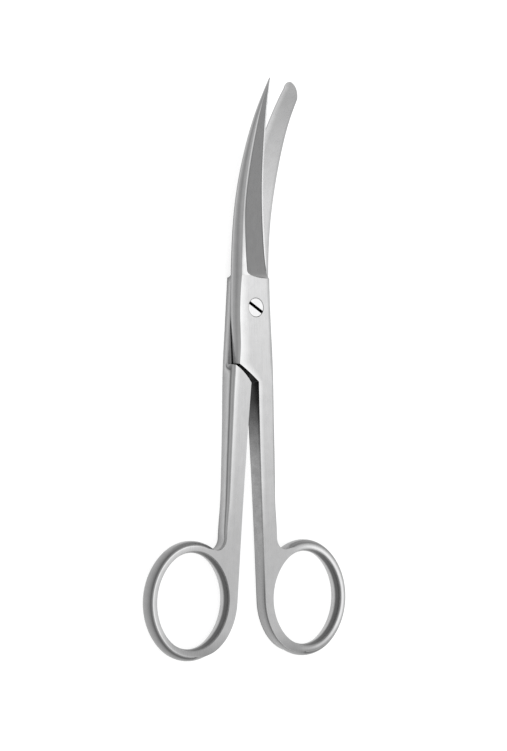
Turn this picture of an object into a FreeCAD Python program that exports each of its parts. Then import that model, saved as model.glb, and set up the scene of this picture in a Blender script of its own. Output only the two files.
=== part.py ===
import FreeCAD, Part
import math
import os
import Sketcher
from FreeCAD import Placement, Rotation, Vector

# Curved dissecting scissors, 145 mm, one sharp and one blunt tip, screw joint.
# Frame: origin on the joint axis at the back face, +Y to the tips, +Z to the screw head.
# Each half is drawn closed as the front half; the back half is the same forging turned over.

doc = FreeCAD.newDocument("dissecting_scissors")

# Driving dimensions
SIZES = [
    ("joint_thickness", 5.4),
    ("lap_gap", 0.06),
    ("rest_opening", 7.07),
    ("inner_gap", 0.06),
    ("shank_thickness", 3.9),
    ("taper_start", -16.0),
    ("taper_end", -58.0),
    ("ring_y", -72.9),
    ("ring_half_width", 11.87),
    ("ring_half_height", 13.1),
    ("ring_wall", 2.9),
    ("ring_outer_round", 1.15),
    ("ring_inner_round", 0.55),
    ("bend_start", 10.0),
    ("bend_radius", 100.0),
    ("wheel_round", 2.1),
    ("head_diameter", 4.75),
    ("head_height", 1.2),
    ("head_clearance", 0.04),
    ("neck_diameter", 3.4),
    ("shaft_diameter", 3.0),
    ("shaft_clearance", 0.04),
    ("slot_width", 0.78),
    ("slot_depth", 0.7),
    ("slot_turn", -29.6),
]

sheet = doc.addObject("Spreadsheet::Sheet", "Dimensions")
for row, (name, value) in enumerate(SIZES, start=1):
    sheet.set("A%d" % row, name)
    sheet.set("B%d" % row, str(value))
    sheet.setAlias("B%d" % row, name)
doc.recompute()


def size(name):
    return float(getattr(sheet, name))


THICK = size("joint_thickness")
MID = THICK / 2
GAP = size("lap_gap") / 2
INNER = size("inner_gap") / 2
RING_X = INNER + size("ring_wall") / 2 + size("ring_half_width")
RING_Y = size("ring_y")
OVAL_SPLIT = 50


def rise(radius):
    """Height of the bent mating face above the joint plane at this radius."""
    run = max(radius - size("bend_start"), 0.0)
    bend = size("bend_radius")
    return bend - math.sqrt(bend * bend - run * run)


def smooth(table, at):
    """Value on a smooth curve through (place, value) pairs."""
    curve = Part.BSplineCurve()
    curve.interpolate([Vector(a, b, 0) for a, b in sorted(table)])
    low, high = curve.FirstParameter, curve.LastParameter
    for _ in range(50):
        half = (low + high) / 2
        if curve.value(half).x < at:
            low = half
        else:
            high = half
    return curve.value(low).y


def plane(body, role):
    return [item for item in body.Origin.OriginFeatures if item.Role == role][0]


def sketch_on(body, name, role, offset=None):
    sketch = body.newObject("Sketcher::SketchObject", name)
    sketch.AttachmentSupport = (plane(body, role), [""])
    sketch.MapMode = "FlatFace"
    if offset is not None:
        sketch.AttachmentOffset = offset
    return sketch


def station(body, name, y):
    """Sketch across the length at distance y; its axes are X and Z of the part."""
    return sketch_on(body, name, "XZ_Plane", Placement(Vector(0, 0, -y), Rotation()))


def draw(sketch, pieces):
    for piece in pieces:
        sketch.addGeometry(piece, False)


def flat(point):
    return Vector(point[0], point[1], 0)


def line(a, b):
    return Part.LineSegment(flat(a), flat(b))


def arc(a, b, c):
    return Part.Arc(flat(a), flat(b), flat(c))


def spline(points):
    curve = Part.BSplineCurve()
    curve.interpolate([flat(p) for p in points])
    return curve


def chain(points):
    return [line(a, b) for a, b in zip(points, points[1:])]


def oval(offset, angle):
    """Point beside the ring's centre line, an oval of four arcs, where its normal has this angle."""
    wide = size("ring_half_width")
    high = size("ring_half_height")
    turn = math.radians(OVAL_SPLIT)
    spread = (high - wide) / (math.cos(turn) + math.sin(turn) - 1)
    across = math.cos(math.radians(angle))
    along = math.sin(math.radians(angle))
    if abs(along) <= math.sin(turn) + 1e-9:
        middle = (-spread * math.cos(turn) * math.copysign(1, across), 0)
        radius = wide + spread * math.cos(turn) + offset
    else:
        middle = (0, spread * math.sin(turn) * math.copysign(1, along))
        radius = high - spread * math.sin(turn) + offset
    return (RING_X + middle[0] + radius * across, RING_Y + middle[1] + radius * along)


def ring_top():
    return oval(size("ring_wall") / 2, 90)[1]


def oval_arcs(offset, start, end):
    """Arcs beside the ring's centre line between two angles, anticlockwise."""
    joints = [OVAL_SPLIT, 180 - OVAL_SPLIT, 180 + OVAL_SPLIT, 360 - OVAL_SPLIT]
    stops = [start] + [joint for joint in joints if start < joint < end] + [end]
    return [arc(oval(offset, a), oval(offset, (a + b) / 2), oval(offset, b))
            for a, b in zip(stops, stops[1:])]


# Plan lines of a half in its closed place, spine on the left, cutting edge on the right
SPINE_SHARP = [(-20, -5.97), (-8, -5.97), (0, -5.92), (9.5, -5.3), (17, -4.84), (24, -4.4), (31, -3.78),
               (38, -2.95), (45, -1.84), (51, -0.86), (56.5, 0.5)]
SPINE_BLUNT = [(-20, -5.97), (-8, -5.97), (0, -5.92), (9.5, -5.35), (17, -4.87), (24, -4.46), (31, -4.2),
               (38, -3.93), (45, -3.82), (51, -3.86), (56.5, -3.9)]
CUTTING_EDGE = [(5, 5.75), (9.5, 5.78), (14.4, 5.58), (23, 4.87), (33, 3.9), (41, 3.04), (48, 2.04),
                (52, 1.38), (55.4, 0.5)]
# Outer side of joint and shank at mid thickness, and how much it rounds over at the faces
SIDE_SHARP = [(9.5, 5.78), (2, 5.5), (-8, 5.5), (-18, 5.5), (-27, 5.25), (-38, 5.0), (-49, 4.6),
              (-57, 4.33)]
SIDE_BLUNT = [(9.5, 5.78), (2, 5.65), (-8, 5.65), (-18, 5.65), (-27, 5.35), (-38, 5.0), (-49, 4.6),
              (-57, 4.33)]
ROUND_SHARP = [(9.5, 1.15), (0, 1.05), (-18, 0.95), (-35, 0.65), (-48, 0.5), (-57, 0.05)]
ROUND_BLUNT = [(9.5, 0.35), (0, 0.35), (-18, 0.55), (-35, 0.6), (-48, 0.5), (-57, 0.05)]
# How far the rounded spine side leans in, and how thick the blade is over the mating face
LEAN_SHARP = [(-20, 0.45), (-8, 0.65), (0, 1.03), (9.5, 1.4), (17, 1.62), (24, 1.35), (31, 1.12),
              (38, 0.85), (45, 0.5), (51, 0.3), (56.5, 0.15)]
LEAN_BLUNT = [(-20, 0.45), (-8, 0.65), (0, 1.03), (9.5, 1.4), (17, 1.62), (24, 1.4), (31, 1.3), (38, 1.1),
              (45, 0.8), (51, 0.7), (56.5, 0.6)]
DEPTH_SHARP = [(8, MID), (14, 2.48), (23, 2.2), (34, 1.8), (45, 1.2), (51, 0.88), (57, 0.5)]
DEPTH_BLUNT = [(8, MID), (14, 2.48), (23, 2.25), (34, 1.9), (45, 1.5), (51, 1.25), (57, 1.0)]
# Left border of the ground face
GROUND_SHARP = [(9.2, -2.3), (20, -2.4), (27, -2.3), (34, -1.75), (41, -1.15), (48, -0.62), (57, 0.2)]
GROUND_BLUNT = [(9.2, -2.3), (20, -2.4), (27, -2.5), (34, -2.5), (41, -2.5), (48, -2.5), (57, -2.5)]


def handle_outline():
    """Joint plate, shank and the web that runs into the ring."""
    wall = size("ring_wall") / 2
    hidden = 0.35
    proud = 0.01
    notch = (INNER, -18.35)
    fade = [oval(share * wall + proud, angle)
            for share, angle in ((1, 212), (0.96, 222), (0.8, 236), (0.5, 252), (0, 272))]
    top = ring_top()
    web = [oval(0.55, 112), (7.7, top - 1.93), (6.4, top - 1.93), (5.35, top - 1.4), (4.62, top - 0.45),
           (4.27, top + 0.85), (4.34, top + 1.75), (5.3, top + 3.75)]
    return [
        line((-6.6, 8.5), (-6.6, -13.15)),
        arc((-6.6, -13.15), (-3.1, -15.7), notch),
        line(notch, oval(wall + proud, 180)),
        *oval_arcs(wall + proud, 180, 212),
        spline(fade),
        line(fade[-1], oval(-hidden, 272)),
        *oval_arcs(-hidden, 104, 272),
        line(oval(-hidden, 104), oval(0, 104)),
        spline([oval(0, 104)] + web),
        line(web[-1], (6.9, -20.0)),
        line((6.9, -20.0), (6.9, 8.5)),
        line((6.9, 8.5), (-6.6, 8.5)),
    ]


def half(label, bend, right, rounding, spine, lean, depth, ground, blunt):
    """One scissor half; bend is +1 when the blade curves to the front of its own drawing, -1 away."""
    body = doc.addObject("PartDesign::Body", label)
    body.Label = label
    # Joint, shank and web from one plan outline
    plan = sketch_on(body, label + "_plan", "XY_Plane")
    draw(plan, handle_outline())
    pad = body.newObject("PartDesign::Pad", label + "_handle")
    pad.Profile = plan
    pad.setExpression("Length", "Dimensions.joint_thickness")
    body.Tip = pad
    doc.recompute()
    # Front and back faces of the shank run thinner to the ring
    start = size("taper_start")
    end = size("taper_end")
    thin = size("shank_thickness") / 2
    mid_y = (start + end) / 2
    sag = thin + (MID - thin) * 0.25
    taper = sketch_on(body, label + "_taper", "YZ_Plane")
    for side in (1, -1):
        face = MID + side * thin
        far = MID + side * (MID + 2)
        top = MID + side * MID
        draw(taper, [
            arc((start, top), (mid_y, MID + side * sag), (end, face)),
            line((end, face), (-95, face)),
            line((-95, face), (-95, far)),
            line((-95, far), (start, far)),
            line((start, far), (start, top)),
        ])
    cut = body.newObject("PartDesign::Pocket", label + "_thinning")
    cut.Profile = taper
    cut.Type = "ThroughAll"
    cut.Midplane = True
    body.Tip = cut
    doc.recompute()
    # Blade blank, taller than needed, to be shaped by the cuts that follow
    outline = sketch_on(body, label + "_blade_plan", "XY_Plane")
    draw(outline, blade_outline(spine, blunt))
    blank = body.newObject("PartDesign::Pad", label + "_blade")
    blank.Profile = outline
    blank.Length = 44
    blank.Midplane = True
    body.Tip = blank
    doc.recompute()
    # Rounded outer side of joint and shank
    names = []
    for place in even(9.5, ring_top() + 1.35, 10):
        x = smooth(right, place)
        half_high = half_thickness(place)
        bow = radius_of(half_high, smooth(rounding, place))
        reach = min(half_high + 0.3, 0.97 * bow)
        inset = bow - math.sqrt(bow * bow - reach * reach)
        side = station(body, "%s_side_%d" % (label, len(names) + 1), place)
        draw(side, [
            arc((x - inset, MID - reach), (x, MID), (x - inset, MID + reach)),
            line((x - inset, MID + reach), (x + 4, MID + reach)),
            line((x + 4, MID + reach), (x + 4, MID - reach)),
            line((x + 4, MID - reach), (x - inset, MID - reach)),
        ])
        names.append(side)
    doc.recompute()
    flank = body.newObject("PartDesign::SubtractiveLoft", label + "_outer_side")
    flank.Profile = names[0]
    flank.Sections = names[1:]
    body.Tip = flank
    doc.recompute()
    # Outer face: level over the joint, then following the bend as the blade grows thinner
    crown = [(y, MID + bend * rise(y) + value) for y, value in depth]
    over = sketch_on(body, label + "_crown", "YZ_Plane")
    draw(over, [
        line((-30, THICK), crown[0]),
        spline(crown),
        line(crown[-1], (crown[-1][0] + 4, crown[-1][1])),
        line((crown[-1][0] + 4, crown[-1][1]), (crown[-1][0] + 4, 24)),
        line((crown[-1][0] + 4, 24), (-30, 24)),
        line((-30, 24), (-30, THICK)),
    ])
    outer = body.newObject("PartDesign::Pocket", label + "_outer_face")
    outer.Profile = over
    outer.Type = "ThroughAll"
    outer.Midplane = True
    body.Tip = outer
    doc.recompute()
    # Mating face, turned about the joint axis so that the bent blades slide on each other
    near = size("bend_start")
    seat = MID + GAP
    dish = sketch_on(body, label + "_dish", "YZ_Plane")
    draw(dish, [
        line((0, -24), (0, seat)),
        line((0, seat), (near, seat)),
        arc((near, seat), (35, seat + bend * rise(35)), (60, seat + bend * rise(60))),
        line((60, seat + bend * rise(60)), (60, -24)),
        line((60, -24), (0, -24)),
    ])
    mating = body.newObject("PartDesign::Groove", label + "_mating_face")
    mating.Profile = dish
    mating.ReferenceAxis = (dish, ["V_Axis"])
    mating.Angle = 200
    mating.Midplane = True
    body.Tip = mating
    doc.recompute()
    # Lap recess behind the joint plate, bounded by the curved shoulder
    lap = sketch_on(body, label + "_lap_plan", "XY_Plane")
    draw(lap, [
        arc((8.2, -13.75), (2.87, -16.05), (-1.2, -20.4)),
        line((-1.2, -20.4), (-9, -20.4)),
        line((-9, -20.4), (-9, 7.9)),
        line((-9, 7.9), (8.2, 7.9)),
        line((8.2, 7.9), (8.2, -13.75)),
    ])
    recess = body.newObject("PartDesign::Pocket", label + "_lap_recess")
    recess.Profile = lap
    recess.Reversed = True
    recess.setExpression("Length", "Dimensions.joint_thickness / 2 + Dimensions.lap_gap / 2")
    body.Tip = recess
    doc.recompute()
    # Rounded spine side
    names = []
    for place in even(-20, 56.5, 10):
        x = smooth(spine, place)
        base = MID + bend * rise(place)
        deep = smooth(depth, place) if place > depth[0][0] else MID
        bow = radius_of(deep, smooth(lean, place))
        low, mid, high = -0.4, deep / 2, min(deep + 0.35, 0.98 * bow)

        def inward(height):
            return x + bow - math.sqrt(bow * bow - height * height)

        cut_section = station(body, "%s_spine_%d" % (label, len(names) + 1), place)
        draw(cut_section, [
            arc((inward(low), base + low), (inward(mid), base + mid), (inward(high), base + high)),
            line((inward(high), base + high), (-9, base + high)),
            line((-9, base + high), (-9, base + low)),
            line((-9, base + low), (inward(low), base + low)),
        ])
        names.append(cut_section)
    doc.recompute()
    shoulder = body.newObject("PartDesign::SubtractiveLoft", label + "_spine_side")
    shoulder.Profile = names[0]
    shoulder.Sections = names[1:]
    body.Tip = shoulder
    doc.recompute()
    # Ground face from the crest down to the cutting edge, with a narrow steeper facet at the edge
    names = []
    for place in even(ground[0][0], ground[-1][0], 9):
        x = smooth(ground, place)
        base = MID + bend * rise(place)
        top = smooth(depth, min(place, depth[-1][0]))
        edge = smooth(CUTTING_EDGE, min(place, CUTTING_EDGE[-1][0]))
        facet = min(0.7, 0.35 * (edge - x), 0.02 + (place - ground[0][0]) / 8)
        edge_base = MID + bend * rise(math.hypot(place, edge))
        land = 0.14
        shoulder_z = edge_base + land + 0.5 * facet
        left = (x, base + top)
        knee = (edge - facet, shoulder_z)
        slope = (knee[1] - left[1]) / (knee[0] - left[0])
        if not names:
            corner, fall = left, slope
        start = (left[0] - 1.2, left[1] - 1.2 * slope)
        run_out = (edge + 2.5, edge_base + land - 0.5 * 2.5)
        bevel = station(body, "%s_ground_%d" % (label, len(names) + 1), place)
        draw(bevel, chain([start, knee, run_out, (edge + 2.5, base + 6), (start[0], base + 6), start]))
        names.append(bevel)
    doc.recompute()
    grind = body.newObject("PartDesign::SubtractiveLoft", label + "_ground_face")
    grind.Profile = names[0]
    grind.Sections = names[1:]
    body.Tip = grind
    doc.recompute()
    # Run-out of the ground face at the joint, left by the round of the wheel
    wheel = size("wheel_round")
    last = ground[0][0]
    flute = sketch_on(body, label + "_wheel", "YZ_Plane", Placement(
        Vector(0, corner[1], corner[0]), Rotation(Vector(1, 0, 0), -math.degrees(math.atan(fall)))))
    bite = math.sqrt(0.5)
    draw(flute, [
        arc((last, 0), (last - wheel * bite, wheel * (1 - bite)), (last - wheel, wheel)),
        line((last - wheel, wheel), (last - wheel, 8)),
        line((last - wheel, 8), (last, 8)),
        line((last, 8), (last, 0)),
    ])
    run = body.newObject("PartDesign::Pocket", label + "_run_out")
    run.Profile = flute
    run.Type = "ThroughAll"
    run.Midplane = True
    body.Tip = run
    doc.recompute()
    # Ring of rounded section, swept round the finger hole
    path = sketch_on(body, label + "_ring_path", "XY_Plane", Placement(Vector(0, 0, MID), Rotation()))
    draw(path, oval_arcs(0, 0, 360))
    across = station(body, label + "_ring_section", RING_Y)
    draw(across, ring_outline())
    ring = body.newObject("PartDesign::AdditivePipe", label + "_ring")
    ring.Profile = across
    doc.recompute()
    ring.Spine = (path, ["Edge%d" % number for number in range(1, len(path.Shape.Edges) + 1)])
    body.Tip = ring
    doc.recompute()
    return body


def circle(sketch, expression):
    """Circle on the joint axis whose diameter follows the sheet."""
    sketch.addGeometry(Part.Circle(Vector(0, 0, 0), Vector(0, 0, 1), 1.0), False)
    sketch.addConstraint(Sketcher.Constraint("Coincident", 0, 3, -1, 1))
    sketch.addConstraint(Sketcher.Constraint("Diameter", 0, 2.0))
    sketch.setExpression("Constraints[1]", expression)


def bore(body, name, expression, depth=None, level=None):
    """Round hole on the joint axis, right through or sunk from the front face."""
    offset = None if level is None else Placement(Vector(0, 0, level), Rotation())
    sketch = sketch_on(body, name + "_plan", "XY_Plane", offset)
    circle(sketch, expression)
    hole = body.newObject("PartDesign::Pocket", name)
    hole.Profile = sketch
    if depth is None:
        hole.Type = "ThroughAll"
        hole.Midplane = True
    else:
        hole.setExpression("Length", depth)
    body.Tip = hole
    doc.recompute()


def screw():
    """Slotted joint screw, head level with the front face, fixed in the back half."""
    body = doc.addObject("PartDesign::Body", "joint_screw")
    body.Label = "joint_screw"
    head = size("head_diameter") / 2
    under = THICK - size("head_height")
    neck = size("neck_diameter") / 2
    shaft = size("shaft_diameter") / 2
    edge = 0.12
    profile = sketch_on(body, "screw_profile", "XZ_Plane")
    draw(profile, chain([
        (0, 0), (shaft - 0.2, 0), (shaft, 0.2), (shaft, MID), (neck, MID),
        (neck, under), (head, under), (head, THICK - edge), (head - edge, THICK), (0, THICK), (0, 0),
    ]))
    turned = body.newObject("PartDesign::Revolution", "screw_body")
    turned.Profile = profile
    turned.ReferenceAxis = (profile, ["V_Axis"])
    turned.Angle = 360
    body.Tip = turned
    doc.recompute()
    turn = Rotation(Vector(0, 0, 1), size("slot_turn"))
    groove = sketch_on(body, "slot_plan", "XY_Plane", Placement(Vector(0, 0, THICK), turn))
    half_slot = size("slot_width") / 2
    end = size("head_diameter")
    draw(groove, chain([
        (-end, -half_slot), (end, -half_slot), (end, half_slot), (-end, half_slot), (-end, -half_slot),
    ]))
    slot = body.newObject("PartDesign::Pocket", "slot")
    slot.Profile = groove
    slot.setExpression("Length", "Dimensions.slot_depth")
    body.Tip = slot
    doc.recompute()
    return body


def ring_outline():
    """Section of the ring: level faces, a full outer side and a flatter inner side."""
    middle = oval(0, 0)[0]
    wide = size("ring_wall") / 2
    high = size("shank_thickness") / 2
    outer = middle + wide
    inner = middle - wide
    outer_edge = outer - size("ring_outer_round")
    inner_edge = inner + size("ring_inner_round")
    return [
        line((inner_edge, MID - high), (outer_edge, MID - high)),
        arc((outer_edge, MID - high), (outer, MID), (outer_edge, MID + high)),
        line((outer_edge, MID + high), (inner_edge, MID + high)),
        arc((inner_edge, MID + high), (inner, MID), (inner_edge, MID - high)),
    ]


def even(first, last, count):
    return [first + (last - first) * step / (count - 1) for step in range(count)]


def radius_of(height, sagitta):
    """Radius of an arc that leaves upright and leans in by the sagitta over the height."""
    return (height * height + sagitta * sagitta) / (2 * sagitta)


def half_thickness(y):
    """Half the thickness of joint and shank at this distance along the length."""
    start = size("taper_start")
    end = size("taper_end")
    thin = size("shank_thickness") / 2
    share = min(max((y - end) / (start - end), 0.0), 1.0)
    return thin + (MID - thin) * share * share


def blade_outline(spine, blunt):
    edge = [(x, y) for y, x in CUTTING_EDGE]
    if blunt:
        tip = [
            spline(edge[:-1] + [(0.95, 54.0)]),
            arc((0.95, 54.0), (0.45, 55.25), (-0.6, 55.5)),
            arc((-0.6, 55.5), (-3.1, 53.9), (-4.25, 50.2)),
            line((-4.25, 50.2), (-6.6, 38)),
            line((-6.6, 38), (-6.6, 6)),
        ]
    else:
        tip = [
            spline(edge),
            arc(edge[-1], (0.35, 55.75), (0.1, 55.6)),
            line((0.1, 55.6), (-6.6, 42)),
            line((-6.6, 42), (-6.6, 6)),
        ]
    return tip + [line((-6.6, 6), edge[0])]


sharp = half("sharp_half", 1, SIDE_SHARP, ROUND_SHARP, SPINE_SHARP, LEAN_SHARP, DEPTH_SHARP,
             GROUND_SHARP, False)
bore(sharp, "neck_hole", "Dimensions.neck_diameter + 2 * Dimensions.head_clearance")
bore(sharp, "head_seat", "Dimensions.head_diameter + 2 * Dimensions.head_clearance",
     "Dimensions.head_height + Dimensions.head_clearance", THICK)
blunt = half("blunt_half", -1, SIDE_BLUNT, ROUND_BLUNT, SPINE_BLUNT, LEAN_BLUNT, DEPTH_BLUNT,
             GROUND_BLUNT, True)
bore(blunt, "shaft_hole", "Dimensions.shaft_diameter + 2 * Dimensions.shaft_clearance")
pin = screw()

# Rest pose: both halves turned half the opening each way, the back half turned over
opening = size("rest_opening")
sharp.Placement = Placement(Vector(0, 0, 0), Rotation(Vector(0, 0, 1), opening / 2))
lean_axis = Vector(math.sin(math.radians(opening / 4)), math.cos(math.radians(opening / 4)), 0)
blunt.Placement = Placement(Vector(0, 0, THICK), Rotation(lean_axis, 180))
doc.recompute()

for item in doc.Objects:
    if "Invalid" in item.State or "Error" in item.State:
        raise RuntimeError("%s: %s" % (item.Name, item.State))

os.makedirs("parts", exist_ok=True)
for body in (sharp, blunt, pin):
    shape = body.Shape
    if shape.isNull() or not shape.isValid() or len(shape.Solids) != 1:
        raise RuntimeError(body.Label + " is not one sound solid")
    shape.exportStep("parts/%s.step" % body.Label)
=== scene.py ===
import bmesh
import bpy
import math
from mathutils import Matrix, Vector
from mathutils.kdtree import KDTree


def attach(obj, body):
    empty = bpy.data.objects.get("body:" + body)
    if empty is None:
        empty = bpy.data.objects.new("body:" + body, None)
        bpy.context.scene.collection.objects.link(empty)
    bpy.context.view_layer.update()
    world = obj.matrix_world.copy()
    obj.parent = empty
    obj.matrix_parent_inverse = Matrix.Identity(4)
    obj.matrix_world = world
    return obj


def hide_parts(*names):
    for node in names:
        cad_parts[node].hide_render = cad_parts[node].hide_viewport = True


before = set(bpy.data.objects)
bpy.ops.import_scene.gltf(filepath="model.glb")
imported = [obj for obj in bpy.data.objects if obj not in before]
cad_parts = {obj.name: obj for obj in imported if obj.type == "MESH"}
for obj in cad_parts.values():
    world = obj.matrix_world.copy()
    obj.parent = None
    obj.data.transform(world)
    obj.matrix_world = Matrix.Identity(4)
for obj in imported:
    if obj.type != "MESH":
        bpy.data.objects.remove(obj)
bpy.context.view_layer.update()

MM = 0.001
THICKNESS = 5.4 * MM
OPENING = math.radians(7.07)
RING_MIDDLE = Vector((13.35, -72.9, 0))

# Places of the two halves at rest, each seen in the drawing of a closed front half
FRONT_TURN = Matrix.Rotation(OPENING / 2, 4, "Z")
BACK_TURN = (
    Matrix.Translation((0, 0, THICKNESS))
    @ Matrix.Rotation(math.pi, 4, Vector((math.sin(OPENING / 4), math.cos(OPENING / 4), 0)))
)


# Materials
def grey(level):
    """Reflectance of a grey that is written as it looks, 0 to 255."""
    share = level / 255
    tone = share / 12.92 if share < 0.04 else ((share + 0.055) / 1.055) ** 2.4
    return (tone, tone, tone * 1.005, 1)


class Nodes:
    """Short hand for building one node material."""

    def __init__(self, name, turn):
        self.material = bpy.data.materials.new(name)
        self.material.use_nodes = True
        self.tree = self.material.node_tree
        self.shader = self.tree.nodes["Principled BSDF"]
        back = turn.inverted()
        self.place = self.mapping(self.add("ShaderNodeTexCoord").outputs["Object"], (1 / MM,) * 3,
                                  back.to_euler("XYZ"), back.translation / MM)
        parts = self.add("ShaderNodeSeparateXYZ")
        self.link(self.place, parts.inputs[0])
        self.x, self.y, self.z = parts.outputs

    def add(self, kind, **values):
        node = self.tree.nodes.new(kind)
        for key, value in values.items():
            setattr(node, key, value)
        return node

    def link(self, a, b):
        self.tree.links.new(a, b)

    def mapping(self, vector, scale, turn=(0, 0, 0), shift=(0, 0, 0)):
        node = self.add("ShaderNodeMapping", vector_type="POINT")
        self.link(vector, node.inputs["Vector"])
        node.inputs["Scale"].default_value = scale
        node.inputs["Rotation"].default_value = turn
        node.inputs["Location"].default_value = shift
        return node.outputs["Vector"]

    def noise(self, sizes, detail, rough):
        """Noise whose grains have these sizes in mm across, along and through the half."""
        node = self.add("ShaderNodeTexNoise")
        self.link(self.mapping(self.place, [1 / item for item in sizes]), node.inputs["Vector"])
        node.inputs["Scale"].default_value = 1.0
        node.inputs["Detail"].default_value = detail
        node.inputs["Roughness"].default_value = rough
        return node.outputs["Fac"]

    def attribute(self, name):
        return self.add("ShaderNodeAttribute", attribute_name=name).outputs["Fac"]

    def span(self, value, low, high, to_low=0.0, to_high=1.0):
        node = self.add("ShaderNodeMapRange")
        names = ("Value", "From Min", "From Max", "To Min", "To Max")
        for name, item in zip(names, (value, low, high, to_low, to_high)):
            self.put(item, node.inputs[name])
        return node.outputs["Result"]

    def put(self, item, socket):
        if isinstance(item, (int, float)):
            socket.default_value = item
        else:
            self.link(item, socket)

    def math(self, operation, a, b):
        node = self.add("ShaderNodeMath", operation=operation)
        self.put(a, node.inputs[0])
        self.put(b, node.inputs[1])
        return node.outputs[0]

    def mix(self, factor, a, b, blend="MIX"):
        node = self.add("ShaderNodeMix", data_type="RGBA", blend_type=blend)
        self.put(factor, node.inputs["Factor"])
        self.link(a, node.inputs["A"])
        self.link(b, node.inputs["B"])
        return node.outputs["Result"]

    def bands(self, value, stops):
        """Greys one beside the other; a stop is a place from 0 to 1 and a grey."""
        ramp = self.add("ShaderNodeValToRGB")
        self.link(value, ramp.inputs[0])
        stones = ramp.color_ramp.elements
        while len(stones) < len(stops):
            stones.new(1.0)
        for stone, (place, level) in zip(stones, stops):
            stone.position = place
            stone.color = grey(level)
        return ramp.outputs["Color"]

    def even(self, level):
        """The same grey all over."""
        return self.bands(self.y, [(0, level), (1, level)])

    def scaled(self, colour, factor):
        return self.mix(1.0, colour, factor, "MULTIPLY")


def steel(name, turn, paint, lines=0.05, cloud=0.03, grain=(0.16, 9, 0.16), roughness=0.3, fades=False):
    """Ground steel: painted bands of reflection and shade under fine lines along the half, faint clouding and
    a satin shine.
    """
    n = Nodes(name, turn)
    line = n.noise(grain, 3.0, 0.6)
    soft = n.noise((2.2, 2.2, 2.2), 4.0, 0.6)
    change = n.math("ADD", n.span(line, 0.3, 0.7, -lines, lines), n.span(soft, 0.35, 0.65, -cloud, cloud))
    if fades:
        change = n.math("MULTIPLY", change, n.span(n.y, -70, -52))
    n.link(n.scaled(paint(n), n.math("ADD", change, 1.0)), n.shader.inputs["Base Color"])
    n.shader.inputs["Metallic"].default_value = 1.0
    n.link(n.span(line, 0.3, 0.7, roughness - 0.05, roughness + 0.05), n.shader.inputs["Roughness"])
    bump = n.add("ShaderNodeBump")
    bump.inputs["Strength"].default_value = 1.0
    bump.inputs["Distance"].default_value = 0.004 * MM
    n.link(line, bump.inputs["Height"])
    n.link(bump.outputs["Normal"], n.shader.inputs["Normal"])
    return n.material


# Greys, 0 to 255, for the steel's own tone and for its painted reflections, highlights and shade
BLACK, DEEP, DARK, DIM, MEDIUM, PALE, LIGHT, BRIGHT = 4, 62, 92, 135, 155, 182, 207, 240

# Bands across each kind of side, from its back border to its front border: painted reflections, highlights
# and shade in place of the studio's light on each side, with dark lines of painted shade along the borders
SPINE_SIDE = [(0, DARK), (0.08, MEDIUM), (0.15, PALE), (0.3, MEDIUM), (0.6, DIM), (0.85, MEDIUM), (1, MEDIUM)]
PLATE_SIDE = [(0, DARK), (0.08, DIM), (0.3, MEDIUM), (0.6, PALE), (0.85, MEDIUM), (1, DIM)]
SHANK_SIDE = [(0, DARK), (0.08, DIM), (0.2, MEDIUM), (0.6, PALE), (0.67, MEDIUM), (0.72, DARK), (0.78, DIM),
              (0.84, MEDIUM), (0.92, DIM), (1, PALE)]
SHADED_SIDE = [(0, MEDIUM), (0.8, MEDIUM), (0.9, DIM), (1, MEDIUM)]
# Inner side under the other half: painted deep shade, with a black line of painted shadow near its front
# border
LAP_SHADE_SIDE = [(0, DEEP), (0.84, DEEP), (0.88, BLACK), (0.94, BLACK), (1, DIM)]
RING_SIDE = [(0, DARK), (0.1, MEDIUM), (0.5, MEDIUM), (0.75, DIM), (0.87, DARK), (0.95, DIM), (1, PALE)]
RING_HOLE = [(0, DIM), (0.2, PALE), (0.45, PALE), (0.6, DARK), (0.85, DARK), (1, MEDIUM)]
BLADE_GROUND = [(0, DARK), (0.06, DIM), (0.92, DIM), (1, DARK)]
# Blade's inner side: a painted highlight just beside the cutting edge
BLADE_SIDE = [(0, PALE), (0.06, BRIGHT), (0.3, LIGHT), (0.9, LIGHT), (1, PALE)]
BLADE_CREST = [(0, MEDIUM), (0.4, LIGHT), (0.7, PALE), (1, DIM)]
# Crest beside the joint: a painted highlight
JOINT_CREST = [(0, LIGHT), (0.4, BRIGHT), (1, BRIGHT)]


def side_paint(stops):
    return lambda n: n.bands(n.attribute("across"), stops)


def blend_paint(low, below, high, above):
    """Bands of one side that turn into those of another between two places along the half, in mm."""

    def paint(n):
        share = n.attribute("across")
        return n.mix(n.span(n.y, low, high), n.bands(share, below), n.bands(share, above))

    return paint


def outer_paint(n):
    """Outer side: painted reflections and shade, plain beside the joint plate, with painted bands along the
    shank that give it the look of a bead, turning into the ring's.
    """
    share = n.attribute("across")
    shank = n.mix(n.span(n.y, -14.6, -14.2), n.bands(share, SHANK_SIDE), n.bands(share, PLATE_SIDE))
    return n.mix(n.span(n.y, -62, -56), n.bands(share, RING_SIDE), shank)


def inner_paint(n):
    """Inner side: painted deep shade behind the joint, lighter down the shank, turning into the ring's
    painted bands.
    """
    share = n.attribute("across")
    shade = n.mix(n.span(n.y, -38, -23), n.bands(share, SHADED_SIDE), n.bands(share, LAP_SHADE_SIDE))
    return n.mix(n.span(n.y, -71, -60), n.bands(share, RING_SIDE), shade)


def blade_paint(n):
    # Painted highlight beside the cutting edge, and painted shade darkening the blade towards its tip
    return n.scaled(n.bands(n.attribute("across"), BLADE_SIDE), n.span(n.y, 26, 52, 1.0, 0.65))


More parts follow.
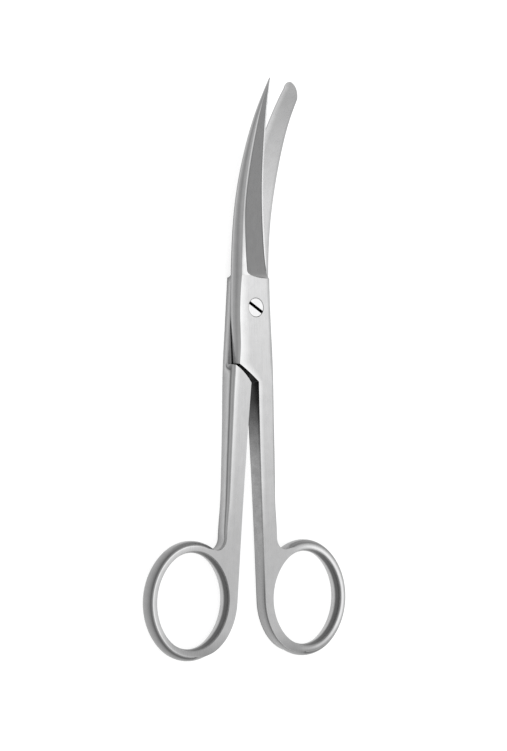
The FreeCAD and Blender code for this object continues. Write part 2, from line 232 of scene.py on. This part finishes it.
def recess_paint(n):
    """Pale ledge of the lap recess, with a black wedge of painted shadow of this width beside the other half
    and painted reflection bands beyond it.
    """
    wedge = 0.38
    ledge_top = -1
    ledge_growth = 0.115
    outer_side = 5.65
    ledge = n.math("MULTIPLY", n.math("SUBTRACT", ledge_top, n.y), ledge_growth)
    inside = n.math("SUBTRACT", ledge, n.math("SUBTRACT", outer_side, n.x))
    stops = [(0, PALE), (0.1, PALE), (0.12, BLACK), (0.36, BLACK), (0.51, MEDIUM), (0.71, PALE), (1, MEDIUM)]
    return n.bands(n.span(inside, -0.5 * wedge, 3 * wedge), stops)


def flat_paint(mirrored, plate):
    """Flat of joint and shank: a painted highlight at its left, painted shade at its right on the front half,
    painted light brightest at the joint and falling off towards the rings, even where it meets the web.
    """
    right_edge = LIGHT if mirrored else MEDIUM
    shank_width = 4.1
    joint_width = 5.1 if mirrored else 4.55
    plate_reach = -5.2

    def paint(n):
        inner = n.span(n.y, -18.4, -13.6, 0.0, plate_reach) if plate else 0.0
        outer = n.span(n.y, -52, -18, shank_width, joint_width)
        share = n.span(n.x, outer if mirrored else inner, inner if mirrored else outer)
        across = n.bands(share, [(0, BRIGHT), (0.3, LIGHT), (0.9, LIGHT), (1, right_edge)])
        bands = n.mix(n.span(n.y, -56, -44), n.even(LIGHT), across)
        return n.scaled(bands, n.span(n.y, -58, 6, 0.75, 1.12))

    return paint


def ring_paint(far):
    """Front of a ring: one pale grey beside the shank, painted reflections and highlights banded from the
    finger hole outwards beyond, and painted shade darker below.
    """

    def paint(n):
        share = n.attribute("across")
        bands = n.mix(n.span(n.x, 9, 16), n.even(PALE), n.bands(share, far))
        return n.scaled(bands, n.span(n.y, -86, -80, 0.6, 1.0))

    return paint


def plain_paint(level):
    return lambda n: n.even(level)


# Regions of a half, each with its own finish
(FACE, REVERSE, CREST, GROUND, FACET, SPINE, OUTER, INNER, RING_FACE, RING_OUTER, RING_INNER, BLADE,
 RECESS, SEAT, SHOULDER, TIP, RUN_OUT, EDGE_HIGHLIGHT, PLAIN_EDGE) = range(19)
LEVEL = (FACE, REVERSE, CREST, GROUND, FACET, RUN_OUT, RING_FACE, BLADE, RECESS)


def region_of(normal, middle, low, high):
    """Region of one CAD face from its mean normal, middle and extent in the drawing of the half."""
    if normal.z < -0.9:
        if high.y > 9:
            return BLADE if high.y > 20 else RECESS
        return RING_FACE if low.y < -80 else REVERSE
    if normal.z > 0.97 and high.y < 9:
        if high.y < 3:
            return RING_FACE if low.y < -80 else FACE if low.y < -10 else SEAT
        return FACE
    if normal.z > 0.95 and normal.x < 0.1:
        return CREST
    if normal.z > 0.9:
        return GROUND
    if low.y > 5 and (normal.x > 0.9 or normal.z > 0.8):
        return FACET
    if low.y > 5 and normal.z > 0.5:
        return RUN_OUT
    if normal.x < -0.8 and normal.z > 0.3:
        return SPINE
    if normal.x > 0.9 and high.y - low.y > 40:
        return OUTER
    if normal.x < -0.9 and high.y - low.y > 40:
        return INNER
    if high.y < -56:
        return RING_OUTER if normal.dot(middle - RING_MIDDLE) > 0 else RING_INNER
    if low.y > 45:
        return TIP
    return SEAT if low.y > -5 else SHOULDER


def finishes(prefix, turn, mirrored):
    """Finish of each region, in the order of the regions."""
    # Painted reflection bands with a painted highlight across the far part of each ring's front
    front_far = [(0, PALE), (0.4, BRIGHT), (0.75, LIGHT), (1, MEDIUM)]
    back_far = [(0, PALE), (0.7, LIGHT), (1, BRIGHT)]
    ring_far = back_far if mirrored else front_far
    return [
        steel(prefix + "_face", turn, flat_paint(mirrored, True)),
        steel(prefix + "_reverse", turn, flat_paint(mirrored, False)),
        steel(prefix + "_crest", turn, blend_paint(12, JOINT_CREST, 24, BLADE_CREST), roughness=0.25),
        steel(prefix + "_ground", turn, side_paint(BLADE_GROUND), lines=0.06),
        # Edge facet painted bright: a painted highlight along the cutting edge
        steel(prefix + "_facet", turn, plain_paint(BRIGHT), roughness=0.25),
        steel(prefix + "_spine", turn, side_paint(SPINE_SIDE)),
        steel(prefix + "_outer", turn, outer_paint),
        steel(prefix + "_inner", turn, inner_paint, lines=0.08, cloud=0.12, grain=(0.5,) * 3, fades=True),
        steel(prefix + "_ring_face", turn, ring_paint(ring_far), lines=0.03),
        steel(prefix + "_ring_outer", turn, blend_paint(-62, RING_SIDE, -56, SHANK_SIDE), lines=0.03),
        steel(prefix + "_ring_inner", turn, side_paint(RING_HOLE), lines=0.03),
        steel(prefix + "_blade_inner", turn, blade_paint),
        steel(prefix + "_recess", turn, recess_paint),
        steel(prefix + "_seat", turn, plain_paint(MEDIUM), roughness=0.4),
        # Shoulder walls of the lap painted black: painted shade in the gap between the halves
        steel(prefix + "_shoulder", turn, plain_paint(BLACK), roughness=0.5),
        steel(prefix + "_tip", turn, plain_paint(MEDIUM)),
        steel(prefix + "_run_out", turn, plain_paint(DIM)),
        steel(prefix + "_edge_highlight", turn, plain_paint(BRIGHT), roughness=0.2),
        steel(prefix + "_plain_edge", turn, plain_paint(MEDIUM), roughness=0.25),
    ]


# Halves as finished pieces
def cad_faces(mesh):
    """Number of the CAD face that each triangle belongs to; the mesh from model.glb keeps their vertices
    apart.
    """
    parent = list(range(len(mesh.vertices)))

    def root(index):
        while parent[index] != index:
            parent[index] = parent[parent[index]]
            index = parent[index]
        return index

    for face in mesh.polygons:
        first = root(face.vertices[0])
        for index in face.vertices[1:]:
            parent[root(index)] = first
    return [root(face.vertices[0]) for face in mesh.polygons]


def regions_of(mesh, numbers, turn, rule):
    """Region of each CAD face."""
    back = turn.inverted()
    spin = back.to_3x3()
    found = {}
    for number in set(numbers):
        faces = [face for face, own in zip(mesh.polygons, numbers) if own == number]
        area = sum(face.area for face in faces)
        normal = spin @ sum((face.normal * face.area for face in faces), Vector()) / max(area, 1e-12)
        middle = back @ (sum((face.center * face.area for face in faces), Vector()) / max(area, 1e-12)) / MM
        places = [back @ mesh.vertices[i].co / MM for face in faces for i in face.vertices]
        low = Vector([min(place[i] for place in places) for i in range(3)])
        high = Vector([max(place[i] for place in places) for i in range(3)])
        found[number] = rule(normal, middle, low, high)
    return found


def weights(point, a, b, c):
    """Place of a point in the plane of a triangle, as shares of its corners."""
    u = b - a
    v = c - a
    w = point - a
    uu, uv, vv = u.dot(u), u.dot(v), v.dot(v)
    wu, wv = w.dot(u), w.dot(v)
    area = uu * vv - uv * uv
    if area < 1e-26:
        return (1 / 3, 1 / 3, 1 / 3)
    s = (vv * wu - uv * wv) / area
    t = (uu * wv - uv * wu) / area
    return (1 - s - t, s, t)


def border_side(region, other, upward):
    """0 where a border starts the way across a region, 1 where it ends it."""
    if region == GROUND:
        return {CREST: 0, SPINE: 0, FACET: 1}.get(other)
    if region == CREST:
        return {SPINE: 0, GROUND: 1}.get(other)
    if region == BLADE:
        return {FACET: 0, OUTER: 0, SPINE: 1}.get(other)
    if region == RING_FACE:
        return {RING_INNER: 0, RING_OUTER: 1, INNER: 1}.get(other)
    if other in LEVEL:
        return 1 if upward > 0 else 0
    return None


class Across:
    """Share of the way across a CAD face, from its first border to its last."""

    def __init__(self, bm, own, regions):
        points = {}
        for edge in bm.edges:
            if len(edge.link_faces) != 2:
                continue
            for face, other in (edge.link_faces, reversed(edge.link_faces)):
                number = face[own]
                if other[own] == number:
                    continue
                side = border_side(regions[number], regions[other[own]], other.normal.z)
                if side is None:
                    continue
                a, b = (vert.co for vert in edge.verts)
                steps = max(1, round((b - a).length / (0.25 * MM)))
                for step in range(steps + 1):
                    points.setdefault((number, side), []).append(a.lerp(b, step / steps))
        self.trees = {}
        for key, places in points.items():
            tree = KDTree(len(places))
            for index, place in enumerate(places):
                tree.insert(place, index)
            tree.balance()
            self.trees[key] = tree

    def share(self, number, place):
        first = self.trees.get((number, 0))
        last = self.trees.get((number, 1))
        if first is None or last is None:
            return 0.5
        near = first.find(place)[2]
        far = last.find(place)[2]
        return near / max(near + far, 1e-12)


def strip_finish(around, normal):
    """Paint of a broken edge: a painted highlight where it looks to the left between a flat face and a side.
    """
    flats = around & {FACE, REVERSE, RING_FACE, CREST}
    if not flats or around & {SHOULDER, SEAT, RING_INNER}:
        return PLAIN_EDGE
    return EDGE_HIGHLIGHT if normal.x < -0.12 and normal.z > 0 else PLAIN_EDGE


def finished(node, name, turn, rule, materials, breaks, strip_rule, sharp=math.radians(14)):
    """Copy of a CAD node with its edges broken and one finish for each region."""
    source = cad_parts[node].data
    numbers = cad_faces(source)
    regions = regions_of(source, numbers, turn, rule)
    corners = [Vector(item.vector) for item in source.corner_normals]
    triangles = []
    for face in source.polygons:
        places = [source.vertices[i].co.copy() for i in face.vertices]
        triangles.append((places, [corners[i] for i in face.loop_indices]))
    bm = bmesh.new()
    bm.from_mesh(source)
    origin = bm.faces.layers.int.new("origin")
    own = bm.faces.layers.int.new("own")
    for face in bm.faces:
        face[origin] = face.index
        face[own] = numbers[face.index]
    bmesh.ops.remove_doubles(bm, verts=bm.verts, dist=1e-7)
    across = Across(bm, own, regions)
    back = turn.inverted()

    def normal_at(face, point):
        places, ends = triangles[face[origin]]
        shares = weights(point, *places)
        return sum((end * share for end, share in zip(ends, shares)), Vector()).normalized()

    def worn_edges(skip):
        found = []
        for edge in bm.edges:
            if len(edge.link_faces) != 2 or any(face in skip for face in edge.link_faces):
                continue
            a, b = edge.link_faces
            if a[own] == b[own]:
                continue
            if max(normal_at(a, v.co).angle(normal_at(b, v.co), 0) for v in edge.verts) > sharp:
                found.append(edge)
        return found

    strips = set()
    for width, chosen in breaks:
        edges = [edge for edge in worn_edges(strips)
                 if chosen(back @ ((edge.verts[0].co + edge.verts[1].co) / 2) / MM)]
        made = bmesh.ops.bevel(bm, geom=edges, offset=width * MM, offset_type="OFFSET", affect="EDGES",
                               segments=1, profile=0.5, material=-1, clamp_overlap=True)
        strips |= set(made["faces"])
        strips = {face for face in strips if face.is_valid}

    around = {}
    beside = {}
    for face in bm.faces:
        if face not in strips:
            for vert in face.verts:
                around.setdefault(vert, []).append(normal_at(face, vert.co))
                beside.setdefault(vert, set()).add(regions[face[own]])
    loops = []
    shares = []
    kinds = []
    bm.normal_update()
    for face in bm.faces:
        face.smooth = True
        if face in strips:
            near = set().union(*(beside.get(vert, set()) for vert in face.verts))
            kinds.append(strip_rule(near, face.normal))
        else:
            kinds.append(regions[face[own]])
        for loop in face.loops:
            if face in strips:
                found = around.get(loop.vert)
                loops.append(sum(found, Vector()).normalized() if found else face.normal.copy())
                shares.append(0.5)
            else:
                loops.append(normal_at(face, loop.vert.co))
                shares.append(across.share(face[own], loop.vert.co))
    for face, kind in zip(bm.faces, kinds):
        face.material_index = kind
    mesh = bpy.data.meshes.new(name)
    bm.to_mesh(mesh)
    bm.free()
    for layer in ("origin", "own"):
        mesh.attributes.remove(mesh.attributes[layer])
    mesh.attributes.new("across", "FLOAT", "CORNER").data.foreach_set("value", shares)
    mesh.normals_split_custom_set(loops)
    piece = bpy.data.objects.new(name, mesh)
    bpy.context.scene.collection.objects.link(piece)
    for material in materials:
        mesh.materials.append(material)
    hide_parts(node)
    return piece


HALF_BREAKS = [(0.14, lambda place: place.y < 8.6), (0.04, lambda place: place.y >= 8.6)]

front = finished("sharp_half", "front_half_finished", FRONT_TURN, region_of,
                 finishes("front", FRONT_TURN, False), HALF_BREAKS, strip_finish)
back = finished("blunt_half", "back_half_finished", BACK_TURN, region_of,
                finishes("back", BACK_TURN, True), HALF_BREAKS, strip_finish)


# Screw
HEAD, RIM, SLOT = range(3)


def screw_region(normal, middle, low, high):
    if normal.z > 0.9 and high.z > 5:
        return HEAD
    if low.z > 5.1:
        return RIM
    return SLOT if low.z > 4.4 else HEAD


STILL = Matrix.Identity(4)
screw = finished("joint_screw", "screw_finished", STILL, screw_region, [
    steel("screw_head", STILL, plain_paint(BRIGHT), roughness=0.22),
    steel("screw_rim", STILL, plain_paint(LIGHT), roughness=0.3),
    # Slot painted black: painted shade inside the slot
    steel("screw_slot", STILL, plain_paint(BLACK), roughness=0.6),
], [(0.03, lambda place: True)], lambda around, normal: RIM if HEAD in around else SLOT)
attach(front, "front_body")
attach(back, "back_body")
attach(screw, "back_body")


# Floor
FLOOR_GREY = 0.45
FLOOR_GLOW = 0.76


def white_floor():
    bm = bmesh.new()
    bmesh.ops.create_grid(bm, x_segments=1, y_segments=1, size=0.6)
    bmesh.ops.translate(bm, verts=bm.verts, vec=(0, 0, -0.02 * MM))
    mesh = bpy.data.meshes.new("floor")
    bm.to_mesh(mesh)
    bm.free()
    floor = bpy.data.objects.new("floor", mesh)
    bpy.context.scene.collection.objects.link(floor)
    n = Nodes("floor_white", STILL)
    n.shader.inputs["Base Color"].default_value = (FLOOR_GREY, FLOOR_GREY, FLOOR_GREY, 1)
    n.shader.inputs["Roughness"].default_value = 0.9
    n.shader.inputs["Specular IOR Level"].default_value = 0.0
    path = n.add("ShaderNodeLightPath")
    seen = n.math("MAXIMUM", n.math("MAXIMUM", path.outputs["Is Camera Ray"], path.outputs["Is Glossy Ray"]),
                  path.outputs["Is Transmission Ray"])
    n.shader.inputs["Emission Color"].default_value = (1, 1, 1, 1)
    n.link(n.math("MULTIPLY", seen, FLOOR_GLOW), n.shader.inputs["Emission Strength"])
    mesh.materials.append(n.material)


white_floor()


# World and lamps
def studio_world():
    world = bpy.data.worlds.new("studio")
    bpy.context.scene.world = world
    world.use_nodes = True
    tree = world.node_tree
    background = tree.nodes["Background"]
    background.inputs["Color"].default_value = (1, 1, 1, 1)
    path = tree.nodes.new("ShaderNodeLightPath")
    either = tree.nodes.new("ShaderNodeMath")
    either.operation = "MAXIMUM"
    tree.links.new(path.outputs["Is Camera Ray"], either.inputs[0])
    tree.links.new(path.outputs["Is Glossy Ray"], either.inputs[1])
    through = tree.nodes.new("ShaderNodeMath")
    through.operation = "MAXIMUM"
    tree.links.new(either.outputs[0], through.inputs[0])
    tree.links.new(path.outputs["Is Transmission Ray"], through.inputs[1])
    level = tree.nodes.new("ShaderNodeMapRange")
    tree.links.new(through.outputs[0], level.inputs["Value"])
    level.inputs["To Min"].default_value = 0.9
    level.inputs["To Max"].default_value = 1.0
    tree.links.new(level.outputs["Result"], background.inputs["Strength"])


def lamp(name, place, aim, width, power):
    light = bpy.data.lights.new(name, "AREA")
    light.shape = "SQUARE"
    light.size = width
    light.energy = power
    holder = bpy.data.objects.new(name, light)
    bpy.context.scene.collection.objects.link(holder)
    holder.location = place
    holder.rotation_euler = (Vector(place) - Vector(aim)).to_track_quat("Z", "Y").to_euler()


studio_world()
lamp("key_lamp", (0.5, 0.1, 0.62), (0, 0, 0), 0.6, 0.07)
lamp("fill_lamp", (-0.5, -0.2, 0.5), (0, 0, 0), 0.5, 0.08)


# Camera
CAMERA_SIDE = Vector((-0.6187, -0.0397, 0.7846))
CAMERA_AIM = Vector((1.810, -16.696, 2.3)) * MM
CAMERA_DISTANCE = 0.6
CAMERA_ROLL = math.radians(0.421)


def camera():
    """Camera at the viewing angle of the photograph."""
    data = bpy.data.cameras.new("photo_camera")
    data.lens = 115.9
    data.sensor_width = 36
    data.clip_start = 0.01
    data.clip_end = 5
    holder = bpy.data.objects.new("photo_camera", data)
    bpy.context.scene.collection.objects.link(holder)
    outward = CAMERA_SIDE.normalized()
    right = (-outward).cross(Vector((0, 1, 0))).normalized()
    up = right.cross(-outward)
    across = right * math.cos(CAMERA_ROLL) + up * math.sin(CAMERA_ROLL)
    along = up * math.cos(CAMERA_ROLL) - right * math.sin(CAMERA_ROLL)
    place = CAMERA_AIM + outward * CAMERA_DISTANCE
    holder.matrix_world = Matrix((
        (across.x, along.x, outward.x, place.x),
        (across.y, along.y, outward.y, place.y),
        (across.z, along.z, outward.z, place.z),
        (0, 0, 0, 1),
    ))
    bpy.context.scene.camera = holder


camera()
bpy.context.scene.view_settings.view_transform = "Standard"
